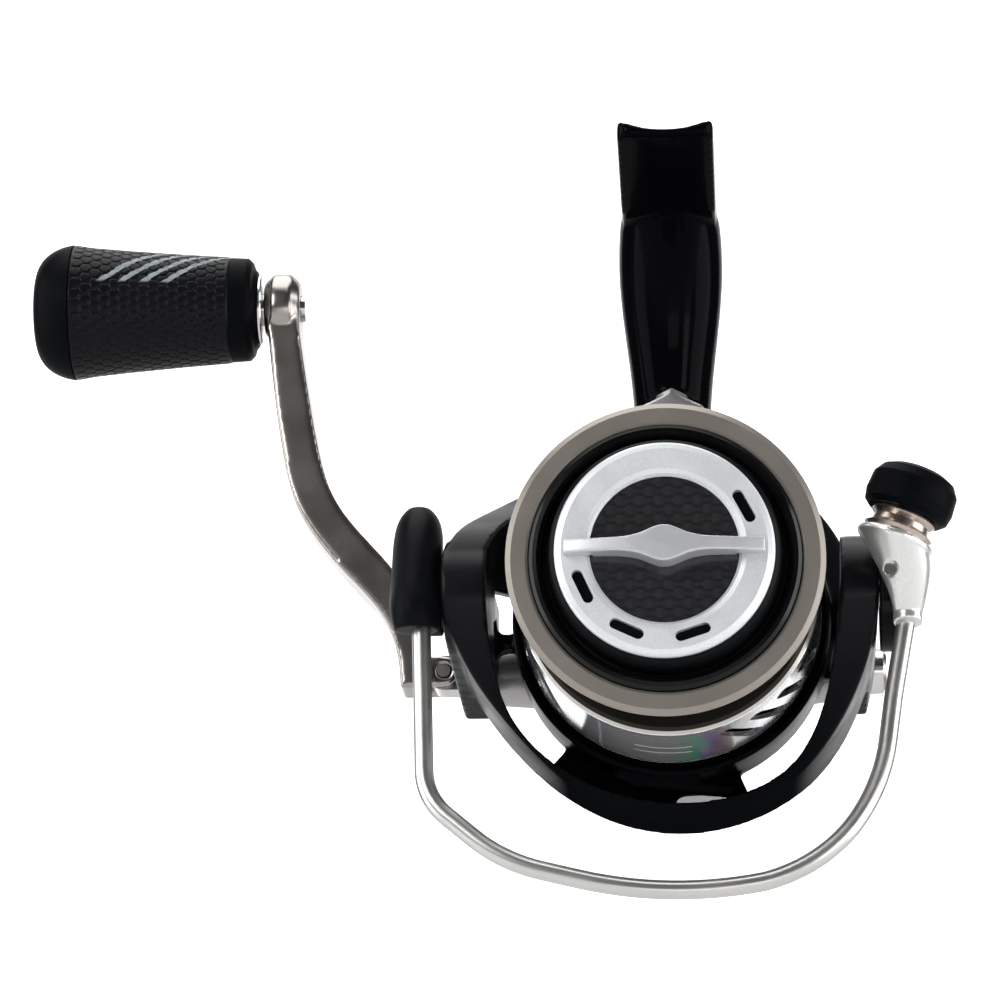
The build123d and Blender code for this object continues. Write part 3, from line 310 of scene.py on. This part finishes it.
def body_finish():
    """Gloss black stem and foot over a satin silver gear case, with the silver spine in front of the stem."""
    s = Surface("body_finish")
    x, y, z = s.axes()
    wide = s.math("ABSOLUTE", x)
    stem = s.step(z, AXIS_Z + 14 * MM, 0.00008)
    ridge = s.math("SUBTRACT", AXIS_Z + 40.4 * MM, s.math("MULTIPLY", wide, 0.46))
    spine = s.math("MULTIPLY", s.below(y, back(51.9)), s.below(s.math("SUBTRACT", z, ridge), 0.0))
    black = s.math("MULTIPLY", stem, s.math("SUBTRACT", 1.0, spine))
    flakes = s.noise(FLAKES, 1.0)
    slow = s.noise(90)
    silver = s.mix(flakes, srgb(136, 134, 135), srgb(164, 161, 162))
    gloss = s.mix(slow, srgb(3, 3, 5), srgb(6, 6, 9))
    s.set(Base_Color=s.mix(black, silver, gloss), Metallic=s.blend(black, 0.7, 0.0))
    s.set(Roughness=s.blend(black, 0.34, s.span(slow, 0.10, 0.16)), Coat_Weight=s.blend(black, 0.2, 0.0))
    s.set(Coat_Roughness=0.05, Specular_IOR_Level=s.blend(black, 0.5, 0.015))
    s.bump(flakes, 0.000002, 0.25)
    s.bump(slow, 0.00002, 0.2)
    return s.material


def rotor_finish():
    """Moulded black: deep black in the hoop, and a painted top light that makes the black lighter, and glossier,
    up towards the two bosses.
    """
    s = Surface("rotor_finish")
    height = s.axes()[2]
    slow = s.noise(120)
    # painted top light: the black's colour is made lighter with height, and its specular level rises with it
    sheen = s.span(height, 0.0, 1.0, AXIS_Z - 26 * MM, AXIS_Z + 6 * MM)
    low = s.mix(slow, srgb(7, 8, 10), srgb(11, 12, 14))
    high = s.mix(slow, srgb(13, 14, 17), srgb(19, 20, 24))
    s.set(Base_Color=s.mix(sheen, low, high), Specular_IOR_Level=s.math("MULTIPLY", sheen, 0.12))
    s.set(Roughness=s.span(slow, 0.28, 0.38))
    s.bump(s.noise(GRAIN, 2.0), 0.000002, 0.4)
    return s.material


def sleeve_finish():
    """Soft-touch black of the knob's sleeve, with plain slanted pale streaks printed on its front."""
    s = Surface("sleeve_finish")
    _, along, turn = s.polar(*KNOB)
    # the sleeve faces the front at 180 degrees, and the streaks sit a little above that
    around = s.math("MULTIPLY", s.math("SUBTRACT", s.math("ABSOLUTE", turn), math.radians(140)), 10.0 * MM)
    slant = s.math("ADD", along, s.math("MULTIPLY", around, 1.1))
    ragged = s.math("ADD", slant, s.math("MULTIPLY", s.math("SUBTRACT", s.noise(420), 0.5), 0.9 * MM))
    stripe = s.below(s.math("PINGPONG", ragged, 1.7 * MM), 0.62 * MM, 0.00006)
    window = s.between(slant, -87.5 * MM, -73.5 * MM, 0.0001)
    tall = s.below(s.math("ABSOLUTE", around), 4.6 * MM, 0.0003)
    upper = s.math("GREATER_THAN", turn, 0.0)
    print_mask = s.math("MULTIPLY", s.math("MULTIPLY", stripe, window), s.math("MULTIPLY", tall, upper))
    slow = s.noise(140)
    black = s.mix(slow, srgb(5, 6, 9), srgb(9, 10, 13))
    s.set(Base_Color=s.mix(print_mask, black, s.mix(s.noise(900), srgb(104, 112, 114), srgb(140, 148, 150))))
    s.set(Roughness=s.span(slow, 0.34, 0.42), Specular_IOR_Level=0.09)
    s.bump(s.noise(3000, 2.0), 0.000008, 0.4)
    return s.material


def gear_metal(name, colour):
    """Machined gear stock with tool marks and a film of grease."""
    s = Surface(name)
    film = s.noise(200)
    marks = s.noise(2200, 5.0)
    s.set(Base_Color=s.mix(film, shade(colour, 0.8), shade(colour, 1.1)), Metallic=1.0)
    s.set(Roughness=s.span(marks, 0.22, 0.42), Coat_Weight=s.span(film, 0.0, 0.7), Coat_Roughness=0.3)
    s.bump(marks, 0.000006, 0.5)
    return s.material


BRONZE = metal("bronze_anodised", srgb(132, 126, 119), 0.36, MAIN, 0.6)
STEEL = metal("steel_satin", srgb(206, 206, 204), 0.24)
SHAFT_STEEL = metal("steel_ground", srgb(196, 196, 197), 0.18, MAIN)
CRANK_STEEL = metal("steel_turned", srgb(190, 189, 187), 0.2, CRANK)
KNOB_STEEL = metal("steel_knob", srgb(190, 190, 190), 0.2, KNOB)
ARM_METAL = metal("gunmetal", srgb(146, 141, 137), 0.26)
ROLLER_METAL = metal("roller_coat", srgb(174, 163, 155), 0.26)
SILVER = paint("silver_matte", srgb(202, 205, 208), 0.42)
CASE_SILVER = paint("silver_case", srgb(150, 147, 148), 0.36, 0.06, 0.7)
BAR_SILVER = paint("silver_bar", srgb(176, 177, 180), 0.40, 0.05, 0.5)
WIRE_STEEL = metal("steel_wire", srgb(188, 187, 185), 0.30, metallic=0.95)
CONE_SILVER = paint("silver_satin", srgb(204, 205, 203), 0.30, 0.04, 0.8)
BLACK = plastic("black_satin", srgb(9, 10, 12), 0.36, specular=0.05)
LEVER_BLACK = plastic("black_soft", srgb(10, 11, 14), 0.44, grain=3200, specular=0.03)
GLOSS = plastic("black_gloss", srgb(8, 9, 11), 0.30, depth=0.000002, specular=0.0)
RUBBER = plastic("black_rubber", srgb(6, 7, 9), 0.46, grain=2000, depth=0.00001, specular=0.02)
SEAL = plastic("seal_rubber", srgb(6, 6, 7), 0.24, 0.08, depth=0.000003, specular=0.15)
CARBON = carbon("carbon_weave")
FELT = felt("drag_felt")
BRASS = gear_metal("brass_machined", srgb(206, 172, 108))
ZINC = gear_metal("zinc_cast", srgb(168, 168, 170))
POLY = plastic("support_plastic", srgb(30, 30, 32), 0.35)

FINISH = {
    BRONZE: ["lip_ring"],
    STEEL: ["clutch_screws", "clutch_ring", "clutch_rollers", "guide_rod", "bail_pivot_screws",
            "bail_spring", "cone_screw", "roller_screw", "cover_screws", "line_clip", "drag_eared_washer",
            "drag_keyed_washer", "drag_retainer_ring", "drag_spring_washer", "fold_pin"],
    WIRE_STEEL: ["bail_wire"],
    SHAFT_STEEL: ["main_shaft", "clutch_sleeve", "pinion_bearing", "spool_bearing"],
    CRANK_STEEL: ["drive_shaft", "drive_bearings", "handle_shank", "handle_screw_cap"],
    KNOB_STEEL: ["knob_shaft", "knob_washer", "knob_plug"],
    ROLLER_METAL: ["line_roller"],
    ARM_METAL: ["handle_arm"],
    SILVER: ["drag_knob_ring"],
    CASE_SILVER: ["side_cover"],
    BAR_SILVER: ["drag_knob_bar"],
    CONE_SILVER: ["bail_cone"],
    BLACK: ["drag_knob", "bail_arm", "clutch_housing", "click_ratchet", "drag_pressure_plate", "roller_bush"],
    POLY: ["spool_support"],
    LEVER_BLACK: ["bail_lever"],
    GLOSS: ["rear_cover"],
    RUBBER: ["roller_cap", "knob_core", "knob_end"],
    SEAL: ["drag_seal_ring"],
    CARBON: ["drag_knob_disc"],
    FELT: ["drag_friction_washers"],
    BRASS: ["rotor_nut", "pinion_gear", "drag_nut"],
    ZINC: ["drive_gear", "oscillation_driver", "oscillation_gear", "oscillation_slider"],
    spool_finish(): ["spool"],
    body_finish(): ["reel_body"],
    rotor_finish(): ["rotor"],
    sleeve_finish(): ["knob_sleeve"],
}
MATERIALS = {node: material for material, nodes in FINISH.items() for node in nodes}


def dress(piece, material):
    piece.data.materials.clear()
    piece.data.materials.append(material)


for node, material in MATERIALS.items():
    dress(frame["nodes"][node], material)


# ---------------------------------------------------------------- shapes
def add_piece(name, mesh, node):
    """A new mesh that stands for a CAD node: it rides the node's body and takes its finish."""
    piece = bpy.data.objects.new(name, mesh)
    bpy.context.scene.collection.objects.link(piece)
    dress(piece, MATERIALS[node])
    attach(piece, BODIES[node])
    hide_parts(node)
    return piece


def evaluated(piece):
    """The piece's mesh with its modifiers applied."""
    graph = bpy.context.evaluated_depsgraph_get()
    return bpy.data.meshes.new_from_object(piece.evaluated_get(graph))


def soften(node, voxel, passes):
    """A cast or moulded piece with eased edges, made from the CAD node's own solid."""
    work = bpy.data.objects.new("work", frame["nodes"][node].data.copy())
    bpy.context.scene.collection.objects.link(work)
    remesh = work.modifiers.new("remesh", "REMESH")
    remesh.mode = "VOXEL"
    remesh.voxel_size = voxel * MM
    smooth = work.modifiers.new("smooth", "SMOOTH")
    smooth.factor = 0.5
    smooth.iterations = passes
    mesh = evaluated(work)
    bpy.data.objects.remove(work)
    mesh.polygons.foreach_set("use_smooth", [True] * len(mesh.polygons))
    return add_piece(node + "_cast", mesh, node)


CASTINGS = {                # voxel in mm, and smoothing passes
    "rotor": (0.4, 8),
    "reel_body": (0.45, 10),
    "handle_arm": (0.3, 14),
    "bail_lever": (0.25, 10),
    "bail_cone": (0.2, 6),
    "bail_arm": (0.25, 8),
    "drag_knob_bar": (0.16, 10),
    "side_cover": (0.35, 8),
    "rear_cover": (0.35, 8),
}
for node, (voxel, passes) in CASTINGS.items():
    soften(node, voxel, passes)


def lathe(name, profile, turns, node, relief):
    """A surface of revolution about the knob's axis, with a relief. The profile is (x, radius) in mm."""
    xs = np.array([p[0] for p in profile]) * MM
    radii = np.array([p[1] for p in profile]) * MM
    angles = np.linspace(0, 2 * math.pi, turns, endpoint=False)
    grid_x, grid_a = np.meshgrid(xs, angles, indexing="ij")
    grid_r = radii[:, None] + relief(grid_x, grid_a)
    points = np.stack([grid_x, KNOB_Y + grid_r * np.cos(grid_a), KNOB_Z + grid_r * np.sin(grid_a)], -1)
    rows = len(xs)
    faces = []
    for row in range(rows):
        here, there = row * turns, (row + 1) % rows * turns
        faces += [(here + j, here + (j + 1) % turns, there + (j + 1) % turns, there + j)
                  for j in range(turns)]
    mesh = bpy.data.meshes.new(name)
    mesh.from_pydata(points.reshape(-1, 3).tolist(), [], faces)
    mesh.polygons.foreach_set("use_smooth", [True] * len(mesh.polygons))
    mesh.update()
    return add_piece(name, mesh, node)


HEX_ROWS = 34                   # hexagons round the sleeve
HEX_DEPTH = 0.2 * MM
HEX_PITCH = 1.75 * MM
HEX_CHANNEL = 0.24              # share of a pitch
SLEEVE_START, SLEEVE_END = -70.4, -94.8         # x of the patterned length, in mm
SLEEVE_BORE = 5.4
SLEEVE_TURNS = 440              # points round the sleeve
SLEEVE_STEPS = 150              # and along it


def hex_relief(x, angle):
    """Raised six-sided pads with narrow channels between them."""
    v = angle / (2 * math.pi) * HEX_ROWS
    u = x / (HEX_PITCH * math.sqrt(3) / 2)
    best = np.full(x.shape, 9.0)
    second = np.full(x.shape, 9.0)
    base_u, base_v = np.floor(u), np.floor(v)
    for du in (-1, 0, 1, 2):
        for dv in (-1, 0, 1, 2):
            cu = base_u + du
            cv = base_v + dv + np.where(np.mod(cu, 2) == 0, 0.0, 0.5)
            gap = np.hypot((u - cu) * math.sqrt(3) / 2, v - cv)
            second = np.where(gap < best, best, np.minimum(second, gap))
            best = np.minimum(best, gap)
    channel = np.clip((second - best) / HEX_CHANNEL, 0, 1)
    near_end = np.clip(np.minimum(SLEEVE_START * MM - x, x - SLEEVE_END * MM) / (0.5 * MM), 0, 1)
    return HEX_DEPTH * (channel * channel * (3 - 2 * channel) - 1) * near_end


def sleeve_profile():
    """The sleeve's outside from its narrow end to its wide one, then back through the bore."""
    steps = np.linspace(SLEEVE_START, SLEEVE_END, SLEEVE_STEPS)
    stations = [SLEEVE_END, -92.0, -87.0, -78.0, SLEEVE_START]
    swell = np.interp(steps, stations, [10.75, 10.3, 9.8, 9.05, 8.5])
    narrow = [(-69.9, SLEEVE_BORE), (-69.9, 8.3)]
    wide = [(-95.2, 10.6), (-95.2, SLEEVE_BORE)]
    return narrow + list(zip(steps, swell)) + wide


lathe("knob_sleeve_embossed", sleeve_profile(), SLEEVE_TURNS, "knob_sleeve", hex_relief)


# ---------------------------------------------------------------- studio
CAMERA_LENS = 185.49
CAMERA_FROM_LIP = Vector((0.01704, -0.72733, -0.18399))
CAMERA_VIEW = Vector((-0.054573, 0.965116, 0.256073))
FLOOR_Z = -0.36
WALL_Y = 1.9
SOFTBOXES = {               # place, size and power
    "top": ((-0.1, 0.0, 0.8), (1.0, 0.8), 9),
    "left": ((-0.95, -0.15, 0.05), (0.7, 1.1), 9),
    "right": ((0.95, -0.15, 0.0), (0.7, 1.1), 11),
    "front_left": ((-0.7, -1.0, 0.35), (0.35, 0.5), 7),
    "front_right": ((0.8, -0.9, -0.1), (0.3, 0.5), 4),
    "front_low": ((0.1, -1.0, -0.34), (0.5, 0.2), 1.2),
}


def aim(thing, place, target):
    """Puts a light or camera at a place, looking at the target."""
    forward = (Vector(target) - Vector(place)).normalized()
    thing.rotation_euler = forward.to_track_quat("-Z", "Y").to_euler()
    thing.location = place


def add_camera():
    """The view from below the reel's nose, a little to the right of its axis."""
    data = bpy.data.cameras.new("camera")
    data.lens, data.sensor_width = CAMERA_LENS, 36.0
    data.clip_start = 0.05
    camera = bpy.data.objects.new("camera", data)
    place = LIP_CENTRE + CAMERA_FROM_LIP
    aim(camera, place, place + CAMERA_VIEW)
    bpy.context.scene.collection.objects.link(camera)
    bpy.context.scene.camera = camera


def add_softbox(name, place, size, power):
    """A large soft light that faces the middle of the spool's lip."""
    data = bpy.data.lights.new(name, "AREA")
    data.shape = "RECTANGLE"
    data.size, data.size_y = size
    data.energy = power
    light = bpy.data.objects.new(name, data)
    aim(light, place, LIP_CENTRE)
    bpy.context.scene.collection.objects.link(light)


def add_plane(name, corners, material):
    mesh = bpy.data.meshes.new(name)
    mesh.from_pydata(corners, [], [tuple(range(len(corners)))])
    plane = bpy.data.objects.new(name, mesh)
    plane.data.materials.append(material)
    bpy.context.scene.collection.objects.link(plane)


def stage_material(name, level, glow):
    s = Surface(name)
    s.set(Base_Color=(level, level, level, 1.0), Roughness=0.8)
    s.set(Emission_Color=(1.0, 1.0, 1.0, 1.0), Emission_Strength=glow)
    return s.material


def add_studio():
    """A pale floor, a white wall behind, and soft lights above, at the sides and in front."""
    add_plane("floor", [(-3, -3, FLOOR_Z), (3, -3, FLOOR_Z), (3, 3, FLOOR_Z), (-3, 3, FLOOR_Z)],
              stage_material("floor_white", 0.78, 0.0))
    add_plane("wall", [(-1.6, WALL_Y, FLOOR_Z), (1.6, WALL_Y, FLOOR_Z), (1.6, WALL_Y, 2.2),
                       (-1.6, WALL_Y, 2.2)],
              stage_material("wall_white", 0.9, 1.15))
    world = bpy.data.worlds.new("studio")
    world.use_nodes = True
    background = world.node_tree.nodes["Background"]
    background.inputs["Color"].default_value = (1.0, 1.0, 1.0, 1.0)
    background.inputs["Strength"].default_value = 0.06
    bpy.context.scene.world = world
    for name, (place, size, power) in SOFTBOXES.items():
        add_softbox(name, place, size, power)


add_camera()
add_studio()
bpy.context.scene.view_settings.view_transform = "Standard"
